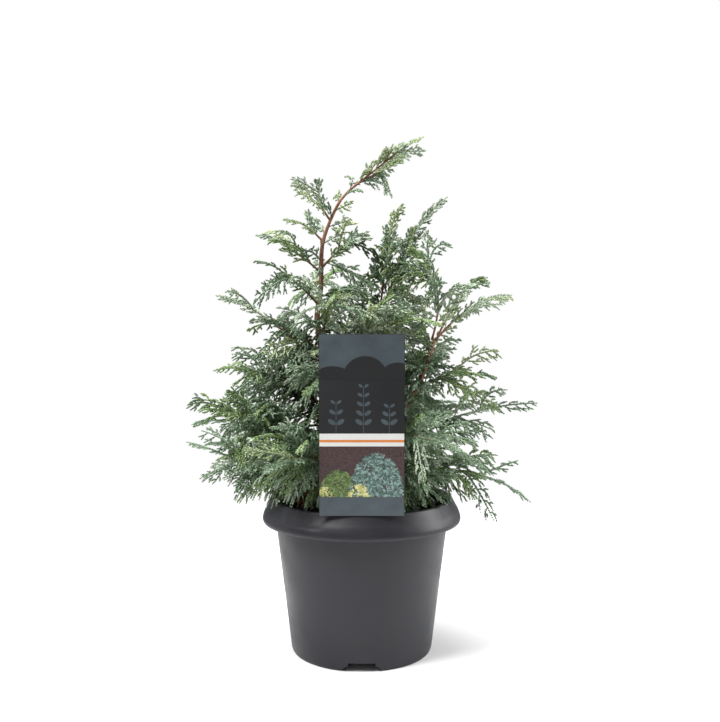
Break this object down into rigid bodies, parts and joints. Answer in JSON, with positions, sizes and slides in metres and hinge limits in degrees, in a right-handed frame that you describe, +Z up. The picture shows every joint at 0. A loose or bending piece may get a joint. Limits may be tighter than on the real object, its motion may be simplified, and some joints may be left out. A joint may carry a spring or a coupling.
{
  "type": "potted baby blue sawara cypress",
  "caption": "Young blue sawara cypress with feathery flat sprays on reddish-brown stems, in a round tapered nursery container with a plain picture label hooked over its rim.",
  "frame": {"origin": "centre of the bounding box on the plane that the container's foot stands on, which is within 2 mm of the container's axis", "axes": "+Z up along the container's axis, -Y towards the front with the label, +X to the right seen from the front"},
  "size_m": [0.348, 0.2842, 0.4946],
  "materials": {
    "pot_plastic": "satin charcoal injection-moulded plastic",
    "soil": "moist peat and bark potting soil",
    "label_card": "printed plastic card",
    "bark": "thin reddish-brown flaking bark",
    "foliage": "blue-green waxy needles in flat sprays"
  },
  "bodies": {
    "root": {"bough_back": "bark", "bough_back_left": "bark", "bough_back_right": "bark", "bough_front_left": "bark", "bough_front_right": "bark", "bough_high_left": "bark", "bough_left": "bark", "bough_low_left": "bark", "bough_low_right": "bark", "bough_middle_left": "bark", "bough_middle_right": "bark", "bough_right": "bark", "bough_second_leader": "bark", "bough_third_leader": "bark", "foliage_back": "foliage", "foliage_back_left": "foliage", "foliage_back_right": "foliage", "foliage_crest_back": "foliage", "foliage_crest_front": "foliage", "foliage_crest_left": "foliage", "foliage_crest_left_front": "foliage", "foliage_crest_right": "foliage", "foliage_front_left": "foliage", "foliage_front_right": "foliage", "foliage_high_left": "foliage", "foliage_inner_high_1": "foliage", "foliage_inner_high_2": "foliage", "foliage_inner_high_3": "foliage", "foliage_inner_low_1": "foliage", "foliage_inner_low_2": "foliage", "foliage_inner_low_3": "foliage", "foliage_inner_low_4": "foliage", "foliage_inner_middle_1": "foliage", "foliage_inner_middle_2": "foliage", "foliage_inner_middle_3": "foliage", "foliage_left": "foliage", "foliage_low_left": "foliage", "foliage_low_right": "foliage", "foliage_middle_left": "foliage", "foliage_middle_right": "foliage", "foliage_right": "foliage", "foliage_rim_1": "foliage", "foliage_rim_2": "foliage", "foliage_rim_3": "foliage", "foliage_rim_4": "foliage", "foliage_rim_5": "foliage", "foliage_rim_6": "foliage", "foliage_second_leader": "foliage", "foliage_second_leader_side": "foliage", "foliage_third_leader": "foliage", "foliage_third_leader_outer": "foliage", "foliage_third_leader_right": "foliage", "foliage_top": "foliage", "foliage_top_left": "foliage", "foliage_top_outer_left": "foliage", "foliage_top_right": "foliage", "label": "label_card", "pot": "pot_plastic", "soil": "soil", "trunk": "bark"}
  },
  "joints": []
}
